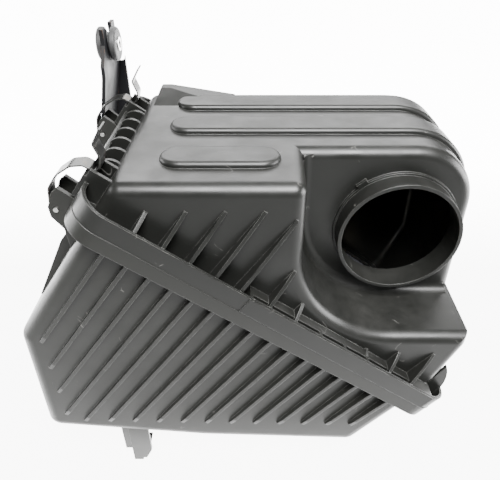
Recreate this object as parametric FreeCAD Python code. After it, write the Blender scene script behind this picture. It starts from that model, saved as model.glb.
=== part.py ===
"""Engine air filter housing: tilted two-shell case, panel filter, steel clips and a hanging arm.

Millimetres, +Z up. The origin is the centre of the outlet collar's rim, and the outlet faces -Y.
The shells part on a plane that contains Y and falls to the right. Points on that plane are given
as (s, t): s runs down the slope from the flange's left end, t is the height above the plane.
"""
import FreeCAD, Part
import os
from math import atan2, cos, hypot, pi, radians, sin, sqrt, tan

V = FreeCAD.Vector

# Driving dimensions
SPLIT_TILT = 36.0                 # slope of the parting plane, degrees
SPLIT_X, SPLIT_Z = -205.7, 32.3   # parting plane at s = 0
WALL = 2.8                        # moulded wall
FRONT, BACK = -10.0, 158.0        # outer faces of both shells along Y
TOP = 44.4                        # cover's flat top
RIGHT = 61.8                      # cover's right wall at the top
SHOULDER = 45.0                   # radius from the top to the right wall
LEFT_S, RIGHT_S = 14.5, 303.0     # side walls where they meet the parting plane

OUTLET_X, OUTLET_Y, OUTLET_Z = 9.5, 25.5, -17.8   # rim's centre while drawing; build_all moves it to 0
OUTLET_R, OUTLET_WALL, OUTLET_LENGTH = 44.0, 2.6, 16.5
SETBACK = OUTLET_Y + OUTLET_LENGTH               # wall that carries the outlet
COVER_ROUND, SETBACK_ROUND, RECESS_FILLET = 8.0, 8.0, 7.0
RECESS_X, RECESS_Z, RECESS_R = 7.0, -9.0, 70.0   # corner arc of the recess round the outlet
RECESS_DRAFT = 2.0                # recess narrows by this much from the front to the set-back wall

LIP_S = (2.0, 314.5)              # flange's ends
LIP_Y = (-23.0, 171.0)            # flange's front and rear edges
LIP_CORNER = 20.0
COVER_LIP, CASE_LIP = 13.5, 11.0  # flange heights above and below the parting plane
LIP_WALL = 2.5
RAIL_STEP = 0.8                   # how far the slotted rail stands in front of the flange
RAIL_SLOT = (2.0, 5.4)            # slots of the rail, measured back from the flange's front face

RIB_PITCH, RIB_FIRST, RIB_COUNT, RIB_THICK = 16.55, 33.0, 16, 2.8
FIN_GROUPS = ((39.0, 19.4, 5), (140.0, 22.2, 7))    # first s, pitch and count of the front fins
FIN_THICK = 2.4
SIDE_FINS = (26.5, 44.0, 61.5, 79.0, 96.5, 114.0)   # gussets between the catch blocks, along Y
PAD_WIDTH, PAD_HEIGHT, PAD_LEFT = 27.5, 4.0, -155.0
PAD_SHORT, PAD_LONG = -77.0, 200.0     # right ends; the long pads run over the shoulder
PAD_Y = (27.0, 80.5, 127.5)       # pad centres; the front one is short

CLIP_WIDTH, CLIP_THICK = 12.0, 1.0
CLIP_Y = (11.0, 129.0)            # clip centres on the left side, front and rear
PIN_S, PIN_T, PIN_R = -4.0, -15.5, 1.6
CATCH_T = 17.2                    # top of the bar the clips hook over
EAR_THICK = 3.0
HINGE_S, HINGE_T, HINGE_R = 320.0, -3.0, 2.5        # trunnions the cover tilts on, right side
HINGE_Y = (45.0, 125.0)

FILTER_S, FILTER_Y = (18.3, 299.2), (-6.2, 154.2)
FILTER_DEPTH, FILTER_RIM, RIM_THICK = 44.0, 12.0, 8.0
PLEATS = 32
LEDGE = 9.0                       # overlap of the shells' ledges on the filter's rim

INLET_R, INLET_WALL, INLET_LENGTH = 36.0, 2.6, 24.0
INLET_X, INLET_Z = -95.0, -135.0
INLET_STEP, SEAL_DEPTH = 1.2, 9.0  # thicker root of the inlet neck, under its foam ring

ARM_THICK = 3.0
ARM_Y = (140.0, 194.0)
ARM_TOP = 96.0
BUSH_X, BUSH_Y, BUSH_Z = -215.2, 171.5, 81.0
BUSH_R, BUSH_GROOVE, SLEEVE_R, SLEEVE_BORE = 13.5, 9.3, 5.5, 3.3
BUSH_LENGTH = 16.0
SCREW_R, HEAD_R, INSERT_R = 2.5, 6.0, 4.0
SCREW_Y, SCREW_T = (104.0, 134.0), -80.0
PAD_FACE = 14.9                   # s of the bosses the arm is screwed to
DRAIN_X, DRAIN_Y, DRAIN_R = -60.0, 118.0, 5.0


# ---------------------------------------------------------------- helpers
def at(s, t):
    """Upright (x, z) of a point on the tilted section."""
    a = radians(SPLIT_TILT)
    return SPLIT_X + s * cos(a) + t * sin(a), SPLIT_Z - s * sin(a) + t * cos(a)


SPLIT = FreeCAD.Placement(V(SPLIT_X, 0, SPLIT_Z), FreeCAD.Rotation(V(0, 1, 0), SPLIT_TILT))


def tilt(shape):
    """Carry a solid drawn in (s, y, t) to its place in the housing."""
    placed = shape.copy()
    placed.Placement = SPLIT.multiply(placed.Placement)
    return placed


def box(x, y, z):
    """Box from three (low, high) pairs."""
    return Part.makeBox(x[1] - x[0], y[1] - y[0], z[1] - z[0], V(x[0], y[0], z[0]))


def rod(radius, start, end):
    """Cylinder between two points."""
    axis = V(*end) - V(*start)
    return Part.makeCylinder(radius, axis.Length, V(*start), axis)


def tube(outer, inner, start, end):
    return rod(outer, start, end).cut(rod(inner, start, end))


def offset(points, by):
    """Move each side of a rounded outline inwards; the points run clockwise seen from the front."""
    moved = []
    count = len(points)
    for i in range(count):
        (ax, az, _), (bx, bz, r), (cx, cz, _) = points[i - 1], points[i], points[(i + 1) % count]
        la, lb = hypot(bx - ax, bz - az), hypot(cx - bx, cz - bz)
        nax, naz = (bz - az) / la, -(bx - ax) / la
        nbx, nbz = (cz - bz) / lb, -(cx - bx) / lb
        k = by / (1 + nax * nbx + naz * nbz)
        moved.append((bx + k * (nax + nbx), bz + k * (naz + nbz), max(r - by, 0.0)))
    return moved


def outline(points, y=0.0):
    """Closed wire in a plane of constant y, each (x, z, radius) corner rounded."""
    edges, stops = [], []
    count = len(points)
    for i in range(count):
        a, b, c = V(points[i - 1][0], y, points[i - 1][1]), V(points[i][0], y, points[i][1]), \
            V(points[(i + 1) % count][0], y, points[(i + 1) % count][1])
        r = points[i][2]
        if r <= 0:
            stops.append((b, b))
            continue
        u, w = (a - b).normalize(), (c - b).normalize()
        half = u.getAngle(w) / 2
        reach = r / tan(half)
        start, end = b + u * reach, b + w * reach
        middle = b + (u + w).normalize() * (r / sin(half) - r)
        edges.append(Part.Arc(start, middle, end).toShape())
        stops.append((start, end))
    for i in range(count):
        start, end = stops[i - 1][1], stops[i][0]
        if (start - end).Length > 1e-6:
            edges.append(Part.LineSegment(start, end).toShape())
    return Part.Wire(Part.__sortEdges__(edges))


def prism(points, low, high):
    """Outline carried along y from low to high."""
    return Part.Face(outline(points, low)).extrude(V(0, high - low, 0))


def plan_plate(s, y, t, corner):
    """Plate with rounded plan corners, drawn in (s, y, t)."""
    plate = box(s, y, t)
    upright = [e for e in plate.Edges if abs(e.tangentAt(e.FirstParameter).z) > 0.99]
    return plate.makeFillet(corner, upright)


def edges_at(shape, y):
    """Edges that lie in the plane y."""
    return [e for e in shape.Edges
            if abs(e.BoundBox.YMin - y) < 1e-4 and abs(e.BoundBox.YMax - y) < 1e-4]


def curved_gusset(points, bulge, width, centre):
    """Rib across the s-t section: a triangle whose long side bows by `bulge`."""
    (s0, t0), (s1, t1), (s2, t2) = points
    a, b, c = V(s0, centre - width / 2, t0), V(s1, centre - width / 2, t1), V(s2, centre - width / 2, t2)
    middle = (a + b) * 0.5 + V(bulge[0], 0, bulge[1])
    wire = Part.Wire([Part.Arc(a, middle, b).toShape(), Part.LineSegment(b, c).toShape(),
                      Part.LineSegment(c, a).toShape()])
    return Part.Face(wire).extrude(V(0, width, 0))


# ---------------------------------------------------------------- lower case
def case_outline():
    past = 30.0
    return [(*at(LEFT_S, past), 0), (*at(RIGHT_S + 1, past), 0), (*at(RIGHT_S - 1.5, -80), 12),
            (-137.0, -203.5, 0), (-268.0, -187.5, 12), (-265.0, -80.0, 14)]


def case_block(inset):
    """Case outside at inset 0, its cavity at inset WALL."""
    block = prism(offset(case_outline(), inset), FRONT + inset, BACK - inset)
    rounded = edges_at(block, FRONT + inset) + edges_at(block, BACK - inset)
    block = block.makeFillet(10.0 - inset, rounded)
    return block.cut(tilt(box((-100, 500), (-100, 300), (0, 200))))


def rib_foot(s):
    """t where a front rib of the case ends: near the left wall, or near the bottom."""
    a = radians(SPLIT_TILT)
    left = (-250.5 - SPLIT_X - s * cos(a)) / sin(a)
    bottom = (-173.0 - 0.04 * (s * cos(a)) - SPLIT_Z + s * sin(a)) / cos(a)
    return max(left, bottom)


def case_rib(s):
    foot = rib_foot(s)
    inside = FRONT + WALL / 2
    side = [V(s, inside, -1), V(s, FRONT - 6.5, -1), V(s, FRONT - 5.0, -26), V(s, FRONT - 3.4, foot + 9),
            V(s, FRONT - 2.4, foot + 2.5), V(s, inside, foot)]
    face = Part.Face(Part.makePolygon(side + side[:1]))
    return face.extrude(V(RIB_THICK, 0, 0))


def case_flange():
    """Downward channel round the mouth: a roof plate and an outer skirt."""
    outer = plan_plate(LIP_S, LIP_Y, (-CASE_LIP, 0), LIP_CORNER)
    inner_s = (LIP_S[0] + LIP_WALL, LIP_S[1] - LIP_WALL)
    inner_y = (LIP_Y[0] + LIP_WALL, LIP_Y[1] - LIP_WALL)
    pocket = plan_plate(inner_s, inner_y, (-CASE_LIP - 1, -LIP_WALL), LIP_CORNER - LIP_WALL)
    return outer.cut(pocket)


def filter_ledge():
    """Step inside the mouth that carries the filter's rim."""
    low = -RIM_THICK - 3.0
    return rim_ledge(low, low + 2.8)


def rim_ledge(low, high):
    """Ring that overlaps the filter's rim, from one t to another."""
    ring = box((LEFT_S + 1, RIGHT_S - 1), (FRONT + 1, BACK - 1), (low, high))
    inner_s = (FILTER_S[0] + LEDGE, FILTER_S[1] - LEDGE)
    inner_y = (FILTER_Y[0] + LEDGE, FILTER_Y[1] - LEDGE)
    return ring.cut(plan_plate(inner_s, inner_y, (low - 1, high + 1), 6.0))


def clip_ears(centre):
    """Pair of ear plates with a pin hole, drawn in (s, y, t)."""
    gap = CLIP_WIDTH / 2 + 0.5
    profile = [(LEFT_S, -2.5), (-10.0, -1.0), (-11.5, -6.0), (-9.0, -17.0), (-4.5, -22.5), (6.0, -26.0),
               (LEFT_S + 1.5, -38.0)]
    ears = []
    for low in (centre - gap - EAR_THICK, centre + gap):
        points = [V(s, low, t) for s, t in profile]
        ears.append(Part.Face(Part.makePolygon(points + points[:1])).extrude(V(0, EAR_THICK, 0)))
    return ears[0].fuse(ears[1]).cut(pin_rod(centre, PIN_R + 0.05))


def pin_rod(centre, radius):
    half = CLIP_WIDTH / 2 + 0.5 + EAR_THICK + 1.0
    return rod(radius, (PIN_S, centre - half, PIN_T), (PIN_S, centre + half, PIN_T))


def hinge_cradle(centre):
    """Two open-topped cheeks on the case that hold the cover's trunnion."""
    half = HINGE_R + 2.4
    cheeks = []
    for y in (centre - 10.5, centre + 7.0):
        span = (y, y + 3.5)
        cheek = box((LIP_S[1] - 2.0, HINGE_S), span, (HINGE_T - half, HINGE_T + 2.0))
        cheek = cheek.fuse(rod(half, (HINGE_S, y, HINGE_T), (HINGE_S, y + 3.5, HINGE_T)))
        cheek = cheek.cut(box((LIP_S[1] - 3.0, 400), span, (HINGE_T + 2.0, 50)))
        slot = rod(HINGE_R + 0.1, (HINGE_S, y - 1, HINGE_T), (HINGE_S, y + 5, HINGE_T))
        mouth_box = box((HINGE_S - HINGE_R - 0.1, HINGE_S + HINGE_R + 0.1), (y - 1, y + 5), (HINGE_T, 50))
        cheeks.append(cheek.cut(slot).cut(mouth_box))
    return cheeks[0].fuse(cheeks[1])


def hinge_tab(centre):
    """Hooked tab on the cover with its moulded trunnion."""
    span = (centre - 5.0, centre + 5.0)
    arm = box((LIP_S[1] - 2.0, HINGE_S + HINGE_R), span, (4.5, 9.0))
    drop = box((HINGE_S - HINGE_R, HINGE_S + HINGE_R), span, (HINGE_T, 6.0))
    trunnion = rod(HINGE_R, (HINGE_S, centre - 11.5, HINGE_T), (HINGE_S, centre + 11.5, HINGE_T))
    return arm.fuse(drop).fuse(trunnion)


def support_leg():
    """Channel-shaped foot under the front left of the case."""
    leg = box((-202.0, -185.0), (-8.0, 14.0), (-239.0, -185.0))
    leg = leg.cut(box((-199.0, -182.0), (-5.0, 15.0), (-231.0, -175.0)))
    side = box((-209.0, -201.0), (-4.0, 12.0), (-227.0, -185.0))
    step = box((-194.0, -174.0), (-20.0, 30.0), (-250.0, -236.0))
    leg = leg.fuse(side).cut(step)
    return leg.cut(tilted_chamfer())


def tilted_chamfer():
    """Slope that narrows the leg's right side towards its end."""
    corner = [(-193.0, -241.0, 0), (-182.5, -219.0, 0), (-174.0, -219.0, 0), (-174.0, -241.0, 0)]
    return prism(corner[::-1], -30.0, 30.0)


def inlet_neck(radius, start, end):
    return rod(radius, (INLET_X, start, INLET_Z), (INLET_X, end, INLET_Z))


def arm_pads():
    """Bosses on the left wall that the arm is screwed to."""
    return [rod(8.0, (PAD_FACE, y, SCREW_T), (PAD_FACE + 14.4, y, SCREW_T)) for y in SCREW_Y]


def lower_case():
    body = case_block(0).fuse(tilt(case_flange()))
    body = body.fuse(support_leg()).fuse(inlet_neck(INLET_R, BACK - 6, BACK + INLET_LENGTH))
    body = body.fuse(inlet_neck(INLET_R + INLET_STEP, BACK - 6, BACK + SEAL_DEPTH))
    body = body.cut(case_block(WALL)).cut(tilt(mouth(-LIP_WALL - 1.0)))
    body = body.fuse(tilt(filter_ledge().common(mouth(-40.0, 1.0))))
    extras = [case_rib(RIB_FIRST + RIB_PITCH * i - RIB_THICK / 2) for i in range(RIB_COUNT)]
    extras += [clip_ears(centre) for centre in CLIP_Y] + [hinge_cradle(centre) for centre in HINGE_Y]
    extras.append(side_fin())
    body = body.multiFuse([tilt(e) for e in extras])
    body = body.cut(case_trim()).multiFuse([tilt(pad) for pad in arm_pads()])
    body = body.cut(inlet_neck(INLET_R - INLET_WALL, BACK - 20, BACK + INLET_LENGTH + 1))
    for y in SCREW_Y:
        body = body.cut(tilt(rod(INSERT_R + 0.02, (PAD_FACE - 8, y, SCREW_T), (PAD_FACE + 11.4, y, SCREW_T))))
    body = body.cut(rod(DRAIN_R + 0.2, (DRAIN_X, DRAIN_Y, -220), (DRAIN_X, DRAIN_Y, -180)))
    return body.removeSplitter()


def mouth(low, inset=0.0):
    """Clear opening of both shells at the parting plane."""
    s = (LEFT_S + WALL - inset, RIGHT_S - WALL + inset)
    y = (FRONT + WALL - inset, BACK - WALL + inset)
    return plan_plate(s, y, (low, -low), 9.0)


def case_trim():
    """Keeps ears and ribs out of the case's cavity."""
    return case_block(WALL).common(tilt(box((0, 320), (-50, 200), (-300, -RIM_THICK - 3.2))))


def side_fin():
    """Long thin rib on the left wall behind the front clip."""
    points = [(11.0, -3.0), (8.5, -50.0), (16.5, -104.0), (20.0, -100.0), (18.0, -3.0)]
    y = CLIP_Y[0] + CLIP_WIDTH / 2 + 0.5
    wire = Part.makePolygon([V(s, y, t) for s, t in points + points[:1]])
    return Part.Face(wire).extrude(V(0, EAR_THICK, 0))


# ---------------------------------------------------------------- cover
def cover_outline():
    past = -30.0
    return [(*at(LEFT_S, past), 0), (-178.5, TOP, 9), (RIGHT, TOP, SHOULDER), (RIGHT + 1.0, -89.0, 12),
            (*at(RIGHT_S - 2, 12), 0), (*at(RIGHT_S - 2, past), 0)]


def recess_section(y, grow):
    """Outline of the recess round the outlet at depth y."""
    share = (SETBACK - y) / (SETBACK - FRONT)
    r = RECESS_R - RECESS_DRAFT * (1 - share) + grow
    x, z = RECESS_X, RECESS_Z
    arc = Part.Arc(V(x - r, y, z), V(x - r * sqrt(0.5), y, z - r * sqrt(0.5)), V(x, y, z - r))
    corners = [V(x, y, z - r), V(x + 160, y, z - r), V(x + 160, y, z + 160), V(x - r, y, z + 160), V(x - r, y, z)]
    lines = [Part.LineSegment(corners[i], corners[i + 1]).toShape() for i in range(4)]
    return Part.Wire([arc.toShape()] + lines)


def recess_brink(block, top):
    """Long edge where the recess's left wall meets the top face."""
    left = RECESS_X - RECESS_R
    return [e for e in block.Edges if e.BoundBox.ZMin > top - 0.05 and e.BoundBox.YLength > 15
            and e.BoundBox.XLength < 15 and abs(e.BoundBox.XMin - left) < 16]


def recess_root(tool):
    """Far edges of the recess's cutting tool that meet the set-back wall inside the cover."""
    r = RECESS_R - RECESS_DRAFT
    found = []
    for edge in edges_at(tool, SETBACK):
        middle = edge.valueAt((edge.FirstParameter + edge.LastParameter) / 2)
        dx, dz = middle.x - RECESS_X, middle.z - RECESS_Z
        on_wall = abs(dx + r) < 1.0 and dz > 0
        on_floor = abs(dz + r) < 1.0 and dx > 0
        on_arc = abs(hypot(dx, dz) - r) < 1.0
        if on_wall or on_floor or on_arc:
            found.append(edge)
    return found


def recess_strip():
    """Rounded inside corner between the recess's wall and the set-back wall."""
    tool = Part.makeLoft([recess_section(FRONT - 30, 0), recess_section(SETBACK, 0)], True, True)
    strip = tool.cut(tool.makeFillet(RECESS_FILLET, recess_root(tool)))
    within = offset(cover_outline(), RECESS_FILLET / 2)
    return strip.common(prism(within, SETBACK - RECESS_FILLET - 1, SETBACK + 0.5))


def cover_block(inset):
    """Cover outside at inset 0, its cavity at inset WALL."""
    shape = offset(cover_outline(), inset)
    front = prism(shape, FRONT + inset, BACK - inset)
    recess = Part.makeLoft([recess_section(FRONT - 30, inset), recess_section(SETBACK + 30, inset)], True, True)
    front = front.cut(recess)
    front_edges = edges_at(front, FRONT + inset) + recess_brink(front, TOP - inset)
    front = front.makeFillet(COVER_ROUND - inset, front_edges)
    front = front.makeFillet(COVER_ROUND - inset, edges_at(front, BACK - inset))
    deep = prism(shape, SETBACK + inset, BACK - inset)
    deep = deep.makeFillet(SETBACK_ROUND - inset, edges_at(deep, SETBACK + inset))
    deep = deep.makeFillet(COVER_ROUND - inset, edges_at(deep, BACK - inset))
    block = front.fuse(deep).removeSplitter()
    return block.cut(tilt(box((-100, 500), (-100, 300), (-200, 0))))


def top_pad(centre, right):
    """Raised stiffening pad on the top; a long one wraps over the right shoulder."""
    half = PAD_WIDTH / 2
    raised = prism(offset(cover_outline(), -PAD_HEIGHT), centre - half, centre + half)
    plan = box((PAD_LEFT + half, right - half), (centre - half, centre + half), (0, 80))
    ends = [rod(half, (x, centre, 0), (x, centre, 80)) for x in (PAD_LEFT + half, right - half)]
    pad = raised.common(plan.fuse(ends[0]).fuse(ends[1]) if right < RIGHT else plan.fuse(ends[0]))
    if right > RIGHT:
        tip = rod(half, (-20, centre, 0), (90, centre, 0))
        pad = pad.fuse(raised.common(tip)).removeSplitter()
    rims = [e for e in pad.Edges if on_raised_face(e)]
    pad = pad.makeFillet(3.2, rims)
    return pad.cut(cover_block(WALL / 2))


def on_raised_face(edge):
    """Edges round the top of a pad, all of them one pad height above the cover's skin."""
    low, high = edge.BoundBox.ZMin, edge.BoundBox.ZMax
    middle = edge.valueAt((edge.FirstParameter + edge.LastParameter) / 2)
    flat_edge = low > TOP + PAD_HEIGHT - 0.01
    reach = hypot(middle.x - (RIGHT - SHOULDER), middle.z - (TOP - SHOULDER))
    shoulder_edge = middle.x > RIGHT - SHOULDER and high > -30 and abs(reach - SHOULDER - PAD_HEIGHT) < 2.5
    return flat_edge or shoulder_edge


def fin_top(s):
    """t where a front fin of the cover ends: under the top edge, or short of the recess."""
    a = radians(SPLIT_TILT)
    under_top = (TOP - 16.0 - SPLIT_Z + s * sin(a)) / cos(a)
    x, z = at(s, 0)
    dx, dz = x - RECESS_X, z - RECESS_Z
    along = dx * sin(a) + dz * cos(a)
    clear = RECESS_R + 6.0 + 0.08 * max(s - 140.0, 0.0)
    beside = -(dx + clear) / sin(a)
    if z + beside * cos(a) > RECESS_Z:
        return min(under_top, beside)
    inside = along ** 2 - dx ** 2 - dz ** 2 + clear ** 2
    under_arc = -along - sqrt(max(inside, 0.0))
    under_ledge = -(dz + clear) / cos(a)
    return under_arc if dx + sin(a) * under_arc < 0 else under_ledge


def front_fin(s):
    tip = fin_top(s)
    y = FRONT + 1.0
    lip = LIP_Y[0] + LIP_WALL - 0.5
    foot = min(COVER_LIP - 1.5, tip - 3.0)
    bow = Part.Arc(V(s, lip, foot), V(s, FRONT - 6.0, foot + 0.55 * (tip - foot)), V(s, FRONT - 0.6, tip))
    corners = [V(s, FRONT - 0.6, tip), V(s, y, tip), V(s, y, 1), V(s, lip, 1), V(s, lip, foot)]
    lines = [Part.LineSegment(corners[i], corners[i + 1]).toShape() for i in range(4)]
    return Part.Face(Part.Wire([bow.toShape()] + lines)).extrude(V(FIN_THICK, 0, 0))


def cover_flange():
    """Upward channel round the mouth: a floor plate and an outer skirt."""
    outer = plan_plate(LIP_S, LIP_Y, (0, COVER_LIP), LIP_CORNER)
    inner_s = (LIP_S[0] + LIP_WALL, LIP_S[1] - LIP_WALL)
    inner_y = (LIP_Y[0] + LIP_WALL, LIP_Y[1] - LIP_WALL)
    channel = plan_plate(inner_s, inner_y, (LIP_WALL, COVER_LIP + 1), LIP_CORNER - LIP_WALL)
    return outer.cut(channel)


def slotted_rail():
    """Raised rail along the right half of the front flange, with a row of narrow slots."""
    first, pitch, count = FIN_GROUPS[1]
    start = first - 15.0
    rail = box((start, RIGHT_S - 6), (LIP_Y[0] - RAIL_STEP, FRONT + 1), (0.5, COVER_LIP))
    depth = (LIP_Y[0] + RAIL_SLOT[0], LIP_Y[0] + RAIL_SLOT[1])
    for i in range(-1, count - 1):
        slot = (max(start, first + pitch * i) + FIN_THICK, first + pitch * (i + 1))
        rail = rail.cut(box(slot, depth, (LIP_WALL + 0.5, 20)))
    return rail


def catch_block(centre):
    """Box on the left flange whose bar a clip hooks over, drawn in (s, y, t)."""
    half = CLIP_WIDTH / 2 + 4.0
    block = box((-1.0, LEFT_S + 2), (centre - half, centre + half), (0.3, CATCH_T))
    pocket = box((2.2, LEFT_S + 0.3), (centre - half + 2.5, centre + half - 2.5), (4.0, 30.0))
    cheeks = [box((1.0, LEFT_S + 2), (y, y + 2.5), (0.3, 22.5)) for y in (centre - half, centre + half - 2.5)]
    return block.cut(pocket).fuse(cheeks[0]).fuse(cheeks[1])


def side_fins():
    """Curved gussets on the end flanges: between the catch blocks, and along the right end."""
    left = [(LIP_S[0] + 1.5, COVER_LIP - 1.5), (LEFT_S + 1.5, 22.0), (LEFT_S + 1.5, 1.0)]
    right = [(LIP_S[1] - 1.5, COVER_LIP - 1.5), (RIGHT_S - 5.5, 34.0), (RIGHT_S - 1.5, 1.0)]
    fins = []
    for y in SIDE_FINS:
        fins += [box((LIP_S[0] + 1.0, LEFT_S + 1.5), (y - 1.2, y + 1.2), (1.0, COVER_LIP - 1.5)),
                 curved_gusset(left, (-2.5, 3.5), 2.4, y)]
    for y in (FRONT + 5.0,) + SIDE_FINS[::2] + (BACK - 12.0,):
        fins += [box((RIGHT_S - 1.5, LIP_S[1] - 1.0), (y - 1.2, y + 1.2), (1.0, COVER_LIP - 1.5)),
                 curved_gusset(right, (1.5, 2.5), 2.4, y)]
    return fins


def rear_wedge():
    """Tapered hump along the rear left edge of the top, with a sloping front."""
    points = [(-177.0, TOP - 6, 0), (-171.0, TOP + 8, 2), (-163.0, TOP + 8, 2), (-110.0, TOP - 0.5, 0),
              (-110.0, TOP - 6, 0)]
    foot, crest = BACK - 34.0, BACK - 11.0
    slope = [V(-200.0, foot, TOP - 7), V(-200.0, foot, TOP - 0.3), V(-200.0, crest, TOP + 8.5),
             V(-200.0, BACK - 3, TOP + 8.5), V(-200.0, BACK - 3, TOP - 7)]
    side = Part.Face(Part.makePolygon(slope + slope[:1])).extrude(V(120.0, 0, 0))
    return prism(points, foot, BACK - 3).common(side)


def collar_notch():
    """Short key beside the collar's base."""
    key = box((-4.0, 4.0), (SETBACK - 2.5, SETBACK + 6), (OUTLET_R - 1, OUTLET_R + 4.0))
    key.rotate(V(0, 0, 0), V(0, 1, 0), -38)
    key.translate(V(OUTLET_X, 0, OUTLET_Z))
    return key


def along_outlet(radius, start, end):
    return rod(radius, (OUTLET_X, start, OUTLET_Z), (OUTLET_X, end, OUTLET_Z))


def outlet_collar():
    collar = along_outlet(OUTLET_R, OUTLET_Y, SETBACK + 2)
    base = along_outlet(OUTLET_R + 1.6, SETBACK - 2.5, SETBACK + 2)
    return collar.fuse(base).fuse(collar_notch())


def cover():
    solid = cover_block(0).fuse(tilt(cover_flange()))
    solid = solid.multiFuse([recess_strip(), outlet_collar(), rear_wedge(), tilt(slotted_rail())])
    pads = [top_pad(PAD_Y[0], PAD_SHORT), top_pad(PAD_Y[1], PAD_LONG), top_pad(PAD_Y[2], PAD_LONG)]
    solid = solid.multiFuse(pads)
    extras = [front_fin(first + pitch * i) for first, pitch, count in FIN_GROUPS for i in range(count)]
    extras += side_fins()
    extras += [catch_block(centre) for centre in CLIP_Y] + [hinge_tab(centre) for centre in HINGE_Y]
    solid = solid.multiFuse([tilt(e) for e in extras])
    solid = solid.cut(cover_block(WALL)).cut(tilt(mouth(-LIP_WALL - 1.0)))
    solid = solid.fuse(tilt(rim_ledge(0.2, 3.0)))
    bore = along_outlet(OUTLET_R - OUTLET_WALL, OUTLET_Y - 1, SETBACK + 40)
    return solid.cut(bore).removeSplitter()


# ---------------------------------------------------------------- filter element
def filter_frame():
    """Moulded rim that seals between the shells."""
    rim = plan_plate(FILTER_S, FILTER_Y, (-RIM_THICK, 0), 8.0)
    inner_s = (FILTER_S[0] + FILTER_RIM, FILTER_S[1] - FILTER_RIM)
    inner_y = (FILTER_Y[0] + FILTER_RIM, FILTER_Y[1] - FILTER_RIM)
    rim = rim.cut(plan_plate(inner_s, inner_y, (-50, 50), 5.0))
    skirt = plan_plate(grown(inner_s, 2.0), grown(inner_y, 2.0), (-FILTER_DEPTH, -RIM_THICK + 0.5), 6.0)
    skirt = skirt.cut(plan_plate(inner_s, inner_y, (-60, 50), 5.0))
    return tilt(rim.fuse(skirt).removeSplitter())


def grown(span, by):
    return span[0] - by, span[1] + by


def filter_media():
    """Pleated paper: a zigzag sheet whose folds run along y."""
    start, end = FILTER_S[0] + FILTER_RIM + 0.2, FILTER_S[1] - FILTER_RIM - 0.2
    step = (end - start) / (2 * PLEATS)
    low, high, thick = -FILTER_DEPTH + 1.0, -2.5, 1.1
    lower = [(start + step * i, low if i % 2 else high - thick * 2) for i in range(2 * PLEATS + 1)]
    upper = [(s, t + thick * 2) for s, t in lower]
    y = (FILTER_Y[0] + FILTER_RIM + 0.2, FILTER_Y[1] - FILTER_RIM - 0.2)
    loop = [V(s, y[0], t) for s, t in lower + upper[::-1]]
    sheet = Part.Face(Part.makePolygon(loop + loop[:1])).extrude(V(0, y[1] - y[0], 0))
    return tilt(sheet.common(plan_plate((start, end), y, (-FILTER_DEPTH, 0), 4.8)))


def filter_beads():
    """Hot-melt strips across the tips of the pleats, on the dusty side."""
    start, end = FILTER_S[0] + FILTER_RIM + 0.2, FILTER_S[1] - FILTER_RIM - 0.2
    third = (FILTER_Y[1] - FILTER_Y[0]) / 3
    strips = [box((start, end), (y - 1.5, y + 1.5), (-FILTER_DEPTH, -FILTER_DEPTH + 0.98))
              for y in (FILTER_Y[0] + third, FILTER_Y[1] - third)]
    return tilt(Part.makeCompound(strips))


def filter_screen():
    """Open grid that backs the pleats on the clean side."""
    s = (FILTER_S[0] + FILTER_RIM + 0.2, FILTER_S[1] - FILTER_RIM - 0.2)
    y = (FILTER_Y[0] + FILTER_RIM + 0.2, FILTER_Y[1] - FILTER_RIM - 0.2)
    grid = plan_plate(s, y, (-2.2, -0.6), 4.8)
    columns, rows, bar = 10, 5, 2.5
    wide, tall = (s[1] - s[0] - bar) / columns, (y[1] - y[0] - bar) / rows
    holes = []
    for i in range(columns):
        for j in range(rows):
            left, near = s[0] + bar + wide * i, y[0] + bar + tall * j
            holes.append(box((left, left + wide - bar), (near, near + tall - bar), (-5, 5)))
    return tilt(grid.cut(holes[0].multiFuse(holes[1:])))


# ---------------------------------------------------------------- clips
def ribbon(path, thick):
    """Closed rounded outline of a bent strip that follows (s, t, bend radius) points."""
    sides = ([], [])
    last = len(path) - 1
    for i, (s, t, r) in enumerate(path):
        before, after = path[max(i - 1, 0)], path[min(i + 1, last)]
        a0 = atan2(t - before[1], s - before[0]) if i else None
        a1 = atan2(after[1] - t, after[0] - s) if i < last else a0
        a0 = a1 if a0 is None else a0
        turn = (a1 - a0 + pi) % (2 * pi) - pi
        normal = a0 + turn / 2 + pi / 2
        reach = thick / 2 / cos(turn / 2)
        for side, sign in zip(sides, (1, -1)):
            bend = r - sign * thick / 2 * (1 if turn > 0 else -1) if r else 0
            side.append((s + sign * reach * cos(normal), t + sign * reach * sin(normal), bend))
    return sides[0] + sides[1][::-1]


def clip(centre):
    """Sprung steel strap with its eye round the pin, hook and finger tab."""
    eye = PIN_R + 0.08
    path = [(PIN_S - 1.0, PIN_T - eye - CLIP_THICK / 2, 0), (-9.5, -16.0, 2.5), (-14.3, -7.0, 8), (-14.2, 4.0, 10),
            (-10.0, 14.5, 8), (-4.0, 19.6, 4), (1.0, 20.0, 2), (4.2, 15.8, 1.2), (5.4, 24.0, 2.5),
            (3.0, 30.0, 4), (-5.2, 35.5, 3), (-6.0, 46.5, 0)]
    low, high = centre - CLIP_WIDTH / 2, centre + CLIP_WIDTH / 2
    strap = Part.Face(outline(ribbon(path, CLIP_THICK), low)).extrude(V(0, CLIP_WIDTH, 0))
    curl = tube(eye + CLIP_THICK, eye, (PIN_S, low, PIN_T), (PIN_S, high, PIN_T))
    strap = strap.fuse(curl).cut(rod(eye, (PIN_S, low, PIN_T), (PIN_S, high, PIN_T)))
    return strap.removeSplitter()


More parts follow.
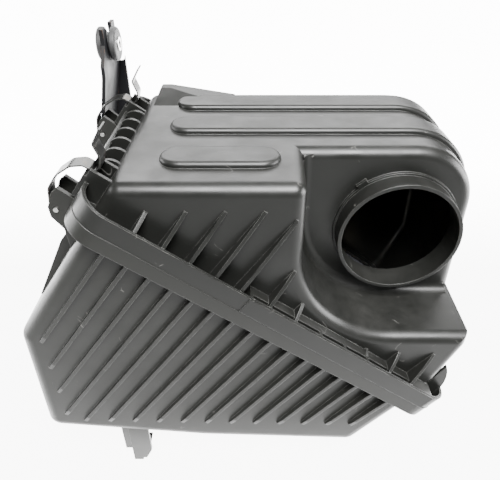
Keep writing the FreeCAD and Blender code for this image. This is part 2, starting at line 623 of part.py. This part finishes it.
# ---------------------------------------------------------------- hanging arm
def arm_path():
    foot_s = PAD_FACE - ARM_THICK / 2 - 0.02
    foot = [(*at(foot_s, t), bend) for t, bend in ((-64, 12), (-104, 0))]
    return [(BUSH_X, ARM_TOP, 0), (BUSH_X, 63.0, 40), (-227.0, -1.0, 60)] + foot


def mounting_arm():
    """Folded plate that hangs the housing from a rubber bush in an open fork."""
    plate = prism(ribbon(arm_path(), ARM_THICK), 80.0, ARM_Y[1])
    low, high = ARM_Y
    shape = [(low, 70), (low + 12, 84), (low + 12, ARM_TOP + 5), (high - 2, ARM_TOP + 5), (high, 60), (high, -20),
             (152, -52), (152, -90), (88, -90), (88, -50), (low, -16)]
    points = [V(-300, y, z) for y, z in shape]
    plate = plate.common(Part.Face(Part.makePolygon(points + points[:1])).extrude(V(150, 0, 0)))
    slot = box((-260, -180), (BUSH_Y - BUSH_GROOVE - 0.1, BUSH_Y + BUSH_GROOVE + 0.1), (BUSH_Z, ARM_TOP + 10))
    slot = slot.fuse(rod(BUSH_GROOVE + 0.1, (-260, BUSH_Y, BUSH_Z), (-180, BUSH_Y, BUSH_Z)))
    plate = plate.cut(slot)
    web = prism([(-217, 66, 0), (-208.5, 66, 0), (-208.5, -4, 4), (-228, -4, 0)], high - ARM_THICK, high)
    web = web.cut(rod(4.0, (-212.5, high - 9, 66), (-212.5, high + 9, 66)))
    arm = plate.fuse(web)
    for y in SCREW_Y:
        arm = arm.cut(tilt(rod(SCREW_R + 0.4, (PAD_FACE - 10, y, SCREW_T), (PAD_FACE + 5, y, SCREW_T))))
    return arm.removeSplitter()


def along_bush(radius, start, end):
    """Cylinder on the bush's axis between two distances from the plate."""
    return rod(radius, (BUSH_X + start, BUSH_Y, BUSH_Z), (BUSH_X + end, BUSH_Y, BUSH_Z))


def arm_bushing():
    """Rubber spool in the fork: a groove between two flanges."""
    half, plate = BUSH_LENGTH / 2, ARM_THICK / 2 + 0.9
    spool = along_bush(BUSH_GROOVE, -half, half)
    for start, end in ((-half, -plate), (plate, half)):
        flange = along_bush(BUSH_R, start, end)
        spool = spool.fuse(flange.makeFillet(2.0, flange.Edges))
    return spool.cut(along_bush(SLEEVE_R, -half - 1, half + 1)).removeSplitter()


def arm_sleeve():
    half = BUSH_LENGTH / 2 + 1.0
    return along_bush(SLEEVE_R - 0.02, -half, half).cut(along_bush(SLEEVE_BORE, -half, half))


def arm_screw(y):
    """Flanged screw that holds the arm's foot to the case."""
    face = PAD_FACE - ARM_THICK - 0.1
    head = hexagon(face - 5.0, face - 1.2, y, SCREW_T)
    flange = rod(HEAD_R + 1.5, (face - 1.4, y, SCREW_T), (face, y, SCREW_T))
    return tilt(head.fuse(flange).fuse(rod(SCREW_R, (face - 0.5, y, SCREW_T), (PAD_FACE + 10.4, y, SCREW_T))))


def hexagon(start, end, y, t):
    """Hexagon head between two s values."""
    corners = [V(start, y + HEAD_R * cos(pi * k / 3), t + HEAD_R * sin(pi * k / 3)) for k in range(7)]
    return Part.Face(Part.makePolygon(corners)).extrude(V(end - start, 0, 0))


def arm_insert(y):
    """Threaded brass insert in a boss of the case."""
    return tilt(tube(INSERT_R, SCREW_R + 0.02, (PAD_FACE + 0.2, y, SCREW_T), (PAD_FACE + 11.2, y, SCREW_T)))


# ---------------------------------------------------------------- small pieces
def clip_pin(centre):
    return pin_rod(centre, PIN_R)


def inlet_seal():
    """Foam ring round the inlet neck, against the rear wall."""
    start, end = BACK + 0.1, BACK + SEAL_DEPTH
    ring = inlet_neck(INLET_R + 7.0, start, end)
    ring = ring.makeFillet(2.0, ring.Edges)
    return ring.cut(inlet_neck(INLET_R + INLET_STEP + 0.05, start - 1, end + 1))


def drain_valve():
    """Rubber lip valve in the lowest part of the case."""
    floor = -206.8
    parts = [(8.0, floor + 3.4, floor + 5.0), (DRAIN_R, floor - 1.2, floor + 3.6), (8.0, floor - 3.0, floor - 1.0),
             (6.0, floor - 10.0, floor - 2.8)]
    body = None
    for radius, low, high in parts:
        disc = rod(radius, (DRAIN_X, DRAIN_Y, low), (DRAIN_X, DRAIN_Y, high))
        body = disc if body is None else body.fuse(disc)
    bore = rod(3.2, (DRAIN_X, DRAIN_Y, floor - 20), (DRAIN_X, DRAIN_Y, floor + 20))
    slit = box((DRAIN_X - 8, DRAIN_X + 8), (DRAIN_Y - 0.6, DRAIN_Y + 0.6), (floor - 12, floor - 5))
    return body.cut(bore).cut(slit)


def build_all():
    """Every node by name."""
    nodes = {"lower_case": lower_case, "cover": cover, "filter_frame": filter_frame,
             "filter_media": filter_media, "filter_screen": filter_screen,
             "filter_beads": filter_beads, "mounting_arm": mounting_arm,
             "arm_bushing": arm_bushing, "arm_sleeve": arm_sleeve, "inlet_seal": inlet_seal,
             "drain_valve": drain_valve}
    shapes = {name: build() for name, build in nodes.items()}
    for place, centre, screw_y in zip(("front", "rear"), CLIP_Y, SCREW_Y):
        shapes["clip_" + place] = tilt(clip(centre))
        shapes["clip_pin_" + place] = tilt(clip_pin(centre))
        shapes["arm_screw_" + place] = arm_screw(screw_y)
        shapes["arm_insert_" + place] = arm_insert(screw_y)
    for shape in shapes.values():
        shape.translate(V(-OUTLET_X, -OUTLET_Y, -OUTLET_Z))
    return shapes


if __name__ == "__main__":
    os.makedirs("parts", exist_ok=True)
    for name, shape in build_all().items():
        print(name, shape.isValid(), len(shape.Solids), round(shape.Volume), shape.BoundBox)
        shape.exportStep("parts/" + name + ".step")
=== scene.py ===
"""Engine air filter housing: materials, moulding flash on the rims, floor, lights and camera.

Metres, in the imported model's frame: +Z up, the outlet faces -Y.
"""

from math import cos, pi, radians, sin

import bmesh
import bpy
from mathutils import Matrix, Vector


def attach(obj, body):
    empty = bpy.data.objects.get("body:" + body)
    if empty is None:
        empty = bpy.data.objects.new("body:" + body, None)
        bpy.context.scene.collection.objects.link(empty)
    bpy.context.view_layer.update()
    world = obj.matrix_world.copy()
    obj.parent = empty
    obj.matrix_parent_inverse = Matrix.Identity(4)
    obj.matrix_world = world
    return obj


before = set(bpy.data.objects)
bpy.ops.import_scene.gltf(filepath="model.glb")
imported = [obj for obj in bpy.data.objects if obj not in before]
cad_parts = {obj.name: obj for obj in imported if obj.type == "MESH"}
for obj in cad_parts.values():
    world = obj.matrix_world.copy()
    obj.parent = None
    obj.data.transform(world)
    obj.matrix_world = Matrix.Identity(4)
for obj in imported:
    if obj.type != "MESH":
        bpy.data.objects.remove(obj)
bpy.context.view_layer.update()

MM = 0.001
SPLIT_TILT = radians(36.0)                    # slope of the shells' parting plane
SPLIT_ORIGIN = Vector((-0.2152, -0.0255, 0.0501))
TO_SPLIT = Matrix.Translation(SPLIT_ORIGIN) @ Matrix.Rotation(SPLIT_TILT, 4, "Y")

# The rims and the lines of flash on them, in the parting plane's own coordinates.
RIM_S = (2.0 * MM, 314.5 * MM)                # ends of the rims along the plane's slope
RIM_Y = (-23.0 * MM, 171.0 * MM)
RIM_CORNER = 20.0 * MM
CORNER_STEPS = 10
FLASH_INSET = 1.2 * MM                        # inwards from the rims' outer face
COVER_EDGE_LEVEL = 13.55 * MM                 # the rims' free edges, off the parting plane
CASE_EDGE_LEVEL = -11.05 * MM
EDGE_FLASH_RADIUS = 0.42 * MM
PARTING_FLASH_RADIUS = 0.4 * MM
FLASH_SIDES = 8

CASE_TONE = (0.0072, 0.0074, 0.0064)
COVER_TONE = (0.0054, 0.0056, 0.005)
DUST_TONE = (0.30, 0.29, 0.27)
# Pale edge tone: edge wear plus a painted highlight on the crests of ribs and fins.
EDGE_WEAR_AND_HIGHLIGHT_TONE = (0.15, 0.15, 0.14)
SCUFF_TONE = (0.20, 0.195, 0.185)

# The floor's own tone is low, so it throws little lamp light upwards; its glow makes it white.
FLOOR_Z = -0.2217                             # half a millimetre under the lowest point
FLOOR_SIZE = 6.0
FLOOR_MIDDLE = (-0.1, 0.1)
FLOOR_TONES = ((0.16, 0.16, 0.158), (0.18, 0.18, 0.179))
GLOW_COLOUR = (1.0, 1.0, 0.995, 1.0)
FLOOR_GLOW = 8.5
# The three glow ramps paint light and shade on the floor: a painted shadow in front of the housing (the
# step), painted shade far in front, and a painted brighter band at the back.
PAINTED_SHADOW_STEP = (-0.165, -0.155)                  # spans of the three glow ramps, along the floor's own Y
PAINTED_SHADE_FADE = (-0.52, -0.28)
PAINTED_LIGHT_RISE = (0.15, 0.45)
PAINTED_SHADOW_SHARE = 0.31                             # share of the glow on the near side of the step
PAINTED_SHADE_SHARE = 0.15                             # share left at the fade's near end
PAINTED_LIGHT_SHARE = 1.6                              # share reached at the rise's far end

WORLD_COLOUR = (0.95, 0.97, 1.0, 1.0)
WORLD_STRENGTH = 0.12
LAMPS = (                                     # name, place, aimed at, size, watts
    ("behind_above", (-0.1, 1.25, 0.85), (-0.1, 0.08, 0.0), (2.2, 0.7), 47.0),
    ("left_low", (-1.1, 0.25, 0.05), (-0.2, 0.05, -0.08), (0.9, 0.8), 16.0),
    ("right_low", (1.1, -0.05, 0.15), (0.05, 0.0, -0.05), (0.8, 0.5), 32.0),
    ("front_high", (0.05, -0.75, 1.15), (-0.08, 0.0, 0.0), (0.9, 0.55), 130.0),
    ("overhead", (0.15, -0.22, 1.2), (-0.05, 0.0, 0.0), (0.8, 0.45), 10.0),
)

CAMERA_PLACE = (-0.1065, -0.2855, 0.1998)
CAMERA_TILT = radians(55.0)                   # up from straight down: 35 degrees below level
CAMERA_LENS = 35.28                           # both in millimetres
CAMERA_SENSOR = 36.0


# ---------------------------------------------------------------- shader helpers
class Shader:
    """A material's node tree with short calls for the few nodes used here."""

    def __init__(self, name):
        self.material = bpy.data.materials.new(name)
        self.material.use_nodes = True
        self.tree = self.material.node_tree
        self.bsdf = self.tree.nodes["Principled BSDF"]
        self.place = self.node("ShaderNodeTexCoord").outputs["Object"]

    def node(self, kind, **values):
        made = self.tree.nodes.new(kind)
        for key, value in values.items():
            setattr(made, key, value)
        return made

    def join(self, source, target):
        self.tree.links.new(source, target)

    def put(self, socket, value):
        """Link an output, or set a plain value."""
        if hasattr(value, "is_output"):
            self.join(value, socket)
        else:
            socket.default_value = value

    def stretched(self, scale):
        mapping = self.node("ShaderNodeMapping")
        mapping.inputs["Scale"].default_value = scale
        self.join(self.place, mapping.inputs["Vector"])
        return mapping.outputs["Vector"]

    def noise(self, scale, detail=3.0, rough=0.5, distortion=0.0, vector=None):
        made = self.node("ShaderNodeTexNoise")
        made.inputs["Scale"].default_value = scale
        made.inputs["Detail"].default_value = detail
        made.inputs["Roughness"].default_value = rough
        made.inputs["Distortion"].default_value = distortion
        self.join(vector or self.place, made.inputs["Vector"])
        return made.outputs["Fac"]

    def ranged(self, value, low, high, out_low=0.0, out_high=1.0):
        made = self.node("ShaderNodeMapRange", clamp=True)
        self.put(made.inputs["Value"], value)
        made.inputs["From Min"].default_value = low
        made.inputs["From Max"].default_value = high
        made.inputs["To Min"].default_value = out_low
        made.inputs["To Max"].default_value = out_high
        return made.outputs["Result"]

    def maths(self, kind, a, b=0.0):
        made = self.node("ShaderNodeMath", operation=kind)
        self.put(made.inputs[0], a)
        self.put(made.inputs[1], b)
        return made.outputs[0]

    def mix(self, share, a, b):
        made = self.node("ShaderNodeMix", data_type="RGBA")
        self.put(made.inputs["Factor"], share)
        for socket, value in ((made.inputs["A"], a), (made.inputs["B"], b)):
            self.put(socket, value if hasattr(value, "is_output") else (*value, 1.0))
        return made.outputs["Result"]

    def bump(self, height, distance, normal=None):
        made = self.node("ShaderNodeBump")
        made.inputs["Distance"].default_value = distance
        self.join(height, made.inputs["Height"])
        if normal is not None:
            self.join(normal, made.inputs["Normal"])
        return made.outputs["Normal"]

    def soft_edges(self, radius):
        made = self.node("ShaderNodeBevel", samples=4)
        made.inputs["Radius"].default_value = radius
        return made.outputs["Normal"]

    def edge_mask(self, radius, low, high):
        """1 on sharp edges, 0 on flats."""
        plain = self.node("ShaderNodeNewGeometry").outputs["Normal"]
        dot = self.node("ShaderNodeVectorMath", operation="DOT_PRODUCT")
        self.join(plain, dot.inputs[0])
        self.join(self.soft_edges(radius), dot.inputs[1])
        return self.ranged(dot.outputs["Value"], 1.0 - low, 1.0 - high)

    def up_facing(self, low, high):
        parts = self.node("ShaderNodeSeparateXYZ")
        self.join(self.node("ShaderNodeNewGeometry").outputs["Normal"], parts.inputs[0])
        return self.ranged(parts.outputs["Z"], low, high)

    def scuffs(self, scale, seed_shift, width):
        """Sparse thin curved marks."""
        moved = self.stretched((1.0, 1.0, 1.0))
        moved.node.inputs["Location"].default_value = (seed_shift, 0.37 * seed_shift, 0.0)
        line = self.noise(scale, 1.0, 0.4, 1.5, moved)
        near = self.maths("ABSOLUTE", self.maths("SUBTRACT", line, 0.5))
        thin = self.ranged(near, 0.0, width, 1.0, 0.0)
        where = self.ranged(self.noise(scale * 1.7, 2.0, 0.5, 0.0, moved), 0.66, 0.70)
        return self.maths("MULTIPLY", thin, where)

    def finish(self, colour, rough, normal=None, metallic=0.0, specular=0.5):
        self.put(self.bsdf.inputs["Base Color"], colour if hasattr(colour, "is_output") else (*colour, 1.0))
        self.put(self.bsdf.inputs["Roughness"], rough)
        self.bsdf.inputs["Metallic"].default_value = metallic
        self.bsdf.inputs["Specular IOR Level"].default_value = specular
        if normal is not None:
            self.join(normal, self.bsdf.inputs["Normal"])
        return self.material


def moulded_plastic(name, tone, dusty, rough):
    """Black polypropylene: fine texture, flow mottling, dust on top, pale edges (wear plus painted
    highlight on crests) and scuffs.
    """
    m = Shader(name)
    mottle = m.noise(22.0, 5.0, 0.6)
    base = m.mix(mottle, tuple(c * 0.8 for c in tone), tuple(c * 1.25 for c in tone))
    settled = m.maths("MULTIPLY", m.up_facing(0.2, 0.95), m.ranged(m.noise(55.0, 6.0, 0.65), 0.3, 0.75))
    dust = m.mix(m.maths("MULTIPLY", settled, dusty), base, DUST_TONE)
    # Pale edges: wear plus a painted highlight along rib and fin crests.
    edge_wear_and_highlight = m.maths("MULTIPLY", m.edge_mask(0.0007, 0.04, 0.40), m.ranged(m.noise(90.0, 4.0), 0.35, 0.7))
    with_edge_wear_and_highlight = m.mix(m.maths("MULTIPLY", edge_wear_and_highlight, 0.7), dust, EDGE_WEAR_AND_HIGHLIGHT_TONE)
    marks = m.maths("MAXIMUM", m.scuffs(16.0, 0.0, 0.004), m.scuffs(41.0, 3.1, 0.008))
    colour = m.mix(m.maths("MULTIPLY", marks, 0.4), with_edge_wear_and_highlight, SCUFF_TONE)
    sheen = m.maths("ADD", m.ranged(m.noise(38.0, 5.0, 0.6), 0.3, 0.7, rough - 0.06, rough + 0.08),
                    m.maths("MULTIPLY", settled, 0.10))
    grain = m.noise(2600.0, 2.0, 0.6)
    normal = m.bump(grain, 0.000008, m.soft_edges(0.001))
    normal = m.bump(m.noise(28.0, 3.0), 0.00025, normal)
    return m.finish(colour, sheen, normal, 0.0, 0.30)


def pressed_steel(name, tone, rough, along):
    """Bright strip steel: drawn streaks, dull patches, a trace of tarnish."""
    m = Shader(name)
    streaks = m.noise(1.0, 6.0, 0.7, 0.0, m.stretched(along))
    patches = m.noise(120.0, 5.0, 0.6)
    base = m.mix(streaks, tuple(c * 0.8 for c in tone), tone)
    stained = m.ranged(patches, 0.55, 0.8, 0.0, 0.55)
    colour = m.mix(stained, base, (0.16, 0.12, 0.085))
    gloss = m.ranged(streaks, 0.2, 0.8, rough - 0.07, rough + 0.12)
    return m.finish(colour, gloss, m.bump(streaks, 0.00003, m.soft_edges(0.0002)), 1.0)


def coated_steel(name):
    """Black electro-coat with rust bleeding from its abraded edges."""
    m = Shader(name)
    coat = m.mix(m.noise(60.0, 5.0), (0.004, 0.004, 0.0045), (0.010, 0.010, 0.0108))
    edge = m.maths("MULTIPLY", m.edge_mask(0.0008, 0.02, 0.4), m.ranged(m.noise(160.0, 5.0), 0.5, 0.68))
    rust = m.mix(m.noise(420.0, 4.0), (0.12, 0.05, 0.02), (0.26, 0.13, 0.06))
    colour = m.mix(m.maths("MULTIPLY", edge, 0.8), coat, rust)
    dust = m.maths("MULTIPLY", m.up_facing(0.3, 1.0), 0.05)
    colour = m.mix(dust, colour, (0.30, 0.28, 0.25))
    gloss = m.ranged(m.noise(75.0, 5.0), 0.3, 0.7, 0.34, 0.55)
    return m.finish(colour, gloss, m.bump(m.noise(900.0, 3.0), 0.00004, m.soft_edges(0.0005)), 0.0, 0.06)


def moulded_rubber(name, tone, rough, grain):
    m = Shader(name)
    bloom = m.ranged(m.noise(80.0, 5.0, 0.6), 0.4, 0.75)
    colour = m.mix(m.maths("MULTIPLY", bloom, 0.3), tone, tuple(c * 2.4 + 0.03 for c in tone))
    normal = m.bump(m.noise(grain, 3.0, 0.6), 0.00008, m.soft_edges(0.0006))
    return m.finish(colour, m.ranged(bloom, 0.0, 1.0, rough, rough + 0.12), normal, 0.0, 0.4)


def pleated_paper(name):
    """Resin-treated paper, greyed in its folds by dust."""
    m = Shader(name)
    fibres = m.noise(700.0, 6.0, 0.7)
    clean = m.mix(fibres, (0.66, 0.60, 0.47), (0.80, 0.75, 0.62))
    dirt = m.ranged(m.noise(36.0, 5.0, 0.65), 0.42, 0.72, 0.0, 0.55)
    colour = m.mix(dirt, clean, (0.26, 0.23, 0.19))
    return m.finish(colour, m.ranged(fibres, 0.2, 0.8, 0.82, 0.95), m.bump(fibres, 0.0001), 0.0, 0.25)


def turned_brass(name):
    m = Shader(name)
    patina = m.noise(260.0, 5.0, 0.6)
    colour = m.mix(patina, (0.52, 0.36, 0.13), (0.78, 0.60, 0.28))
    return m.finish(colour, m.ranged(patina, 0.2, 0.8, 0.24, 0.42), m.bump(patina, 0.00003), 1.0)


def make_materials():
    return {
        "lower_case": moulded_plastic("case_polypropylene", CASE_TONE, 0.03, 0.37),
        "cover": moulded_plastic("cover_polypropylene", COVER_TONE, 0.02, 0.34),
        "filter_frame": moulded_rubber("filter_polyurethane", (0.07, 0.07, 0.08), 0.5, 1200.0),
        "filter_media": pleated_paper("filter_paper"),
        "filter_screen": pressed_steel("screen_wire", (0.62, 0.62, 0.60), 0.35, (300.0, 900.0, 300.0)),
        "filter_beads": moulded_rubber("pleat_hot_melt", (0.62, 0.55, 0.36), 0.42, 600.0),
        "mounting_arm": coated_steel("arm_electrocoat"),
        "arm_bushing": moulded_rubber("bush_rubber", (0.018, 0.018, 0.018), 0.55, 1500.0),
        "arm_sleeve": pressed_steel("sleeve_zinc", (0.86, 0.86, 0.84), 0.28, (90.0, 1500.0, 1500.0)),
        "inlet_seal": moulded_rubber("seal_foam", (0.03, 0.03, 0.03), 0.8, 2200.0),
        "drain_valve": moulded_rubber("valve_rubber", (0.016, 0.016, 0.016), 0.5, 1500.0),
        "clip": pressed_steel("clip_spring_steel", (0.085, 0.085, 0.082), 0.30, (1400.0, 1400.0, 90.0)),
        "clip_pin": pressed_steel("pin_wire", (0.60, 0.60, 0.58), 0.3, (1500.0, 60.0, 1500.0)),
        "arm_screw": pressed_steel("screw_zinc", (0.78, 0.76, 0.66), 0.34, (500.0, 500.0, 500.0)),
        "arm_insert": turned_brass("insert_brass"),
    }


def dress_cad(materials):
    """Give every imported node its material; front and rear copies share one."""
    for node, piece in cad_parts.items():
        key = node if node in materials else node.rsplit("_", 1)[0]
        piece.data.materials.clear()
        piece.data.materials.append(materials[key])


# ---------------------------------------------------------------- moulding flash on the rims
def rim_path(inset, level):
    """Closed run of points round the rims.

    inset is inwards from the rims' outer face, level is off the parting plane.
    """
    radius = RIM_CORNER - inset
    points = []
    for corner in range(4):
        s = RIM_S[1] - RIM_CORNER if corner in (0, 3) else RIM_S[0] + RIM_CORNER
        y = RIM_Y[1] - RIM_CORNER if corner < 2 else RIM_Y[0] + RIM_CORNER
        for step in range(CORNER_STEPS + 1):
            angle = (corner + step / CORNER_STEPS) * pi / 2
            points.append(TO_SPLIT @ Vector((s + radius * cos(angle), y + radius * sin(angle), level)))
    return points


def flash_line(name, points, radius, material, body):
    """Fine line of round section, smooth-shaded, along a closed run of points."""
    mesh = bmesh.new()
    plane_normal = TO_SPLIT.to_3x3() @ Vector((0.0, 0.0, 1.0))
    turns = [k * 2 * pi / FLASH_SIDES for k in range(FLASH_SIDES)]
    rings = []
    for index, point in enumerate(points):
        along = (points[(index + 1) % len(points)] - points[index - 1]).normalized()
        side = along.cross(plane_normal).normalized()
        spokes = [radius * (cos(turn) * side + sin(turn) * plane_normal) for turn in turns]
        rings.append([mesh.verts.new(point + spoke) for spoke in spokes])
    for ring, following in zip(rings, rings[1:] + rings[:1]):
        for k in range(FLASH_SIDES):
            mesh.faces.new((ring[k], ring[k - 1], following[k - 1], following[k]))
    bmesh.ops.recalc_face_normals(mesh, faces=mesh.faces)
    data = bpy.data.meshes.new(name)
    mesh.to_mesh(data)
    mesh.free()
    data.polygons.foreach_set("use_smooth", [True] * len(data.polygons))
    data.materials.append(material)
    piece = bpy.data.objects.new(name, data)
    bpy.context.scene.collection.objects.link(piece)
    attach(piece, body)


def add_rim_flash(materials):
    """Thin flash left along both rims' free edges and along the parting line."""
    cover_edge = rim_path(FLASH_INSET, COVER_EDGE_LEVEL)
    parting_line = rim_path(0.0, 0.0)
    case_edge = rim_path(FLASH_INSET, CASE_EDGE_LEVEL)
    flash_line("cover_rim_flash", cover_edge, EDGE_FLASH_RADIUS, materials["cover"], "cover")
    flash_line("parting_flash", parting_line, PARTING_FLASH_RADIUS, materials["lower_case"], "case")
    flash_line("case_rim_flash", case_edge, EDGE_FLASH_RADIUS, materials["lower_case"], "case")


# ---------------------------------------------------------------- floor, light, camera
def make_floor():
    bpy.ops.mesh.primitive_plane_add(size=FLOOR_SIZE, location=(*FLOOR_MIDDLE, FLOOR_Z))
    floor = bpy.context.object
    floor.name = "floor"
    m = Shader("white_card")
    tone = m.mix(m.noise(3.0, 2.0), *FLOOR_TONES)
    material = m.finish(tone, 0.9, None, 0.0, 0.1)
    m.bsdf.inputs["Emission Color"].default_value = GLOW_COLOUR
    across = m.node("ShaderNodeSeparateXYZ")
    m.join(m.place, across.inputs[0])
    # Painted shadow on the floor in front of the housing, painted shade far in front, painted brighter band
    # at the back.
    near = m.ranged(across.outputs["Y"], *PAINTED_SHADOW_STEP, PAINTED_SHADOW_SHARE * FLOOR_GLOW, FLOOR_GLOW)
    painted_far_shade = m.ranged(across.outputs["Y"], *PAINTED_SHADE_FADE, PAINTED_SHADE_SHARE, 1.0)
    painted_rear_light = m.ranged(across.outputs["Y"], *PAINTED_LIGHT_RISE, 1.0, PAINTED_LIGHT_SHARE)
    glow = m.maths("MULTIPLY", near, m.maths("MULTIPLY", painted_far_shade, painted_rear_light))
    m.join(glow, m.bsdf.inputs["Emission Strength"])
    floor.data.materials.append(material)


def soft_light(name, place, target, size, power):
    data = bpy.data.lights.new(name, "AREA")
    data.shape = "RECTANGLE"
    data.size, data.size_y = size
    data.energy = power
    light = bpy.data.objects.new(name, data)
    light.location = place
    light.rotation_euler = (Vector(target) - Vector(place)).to_track_quat("-Z", "Y").to_euler()
    bpy.context.scene.collection.objects.link(light)


def make_lights():
    world = bpy.data.worlds.new("studio")
    bpy.context.scene.world = world
    world.use_nodes = True
    backdrop = world.node_tree.nodes["Background"]
    backdrop.inputs["Color"].default_value = WORLD_COLOUR
    backdrop.inputs["Strength"].default_value = WORLD_STRENGTH
    for lamp in LAMPS:
        soft_light(*lamp)


def make_camera():
    data = bpy.data.cameras.new("camera")
    data.lens = CAMERA_LENS
    data.sensor_width = CAMERA_SENSOR
    camera = bpy.data.objects.new("camera", data)
    camera.location = CAMERA_PLACE
    camera.rotation_euler = (CAMERA_TILT, 0.0, 0.0)
    bpy.context.scene.collection.objects.link(camera)
    bpy.context.scene.camera = camera


def main():
    materials = make_materials()
    dress_cad(materials)
    add_rim_flash(materials)
    make_floor()
    make_lights()
    make_camera()


main()
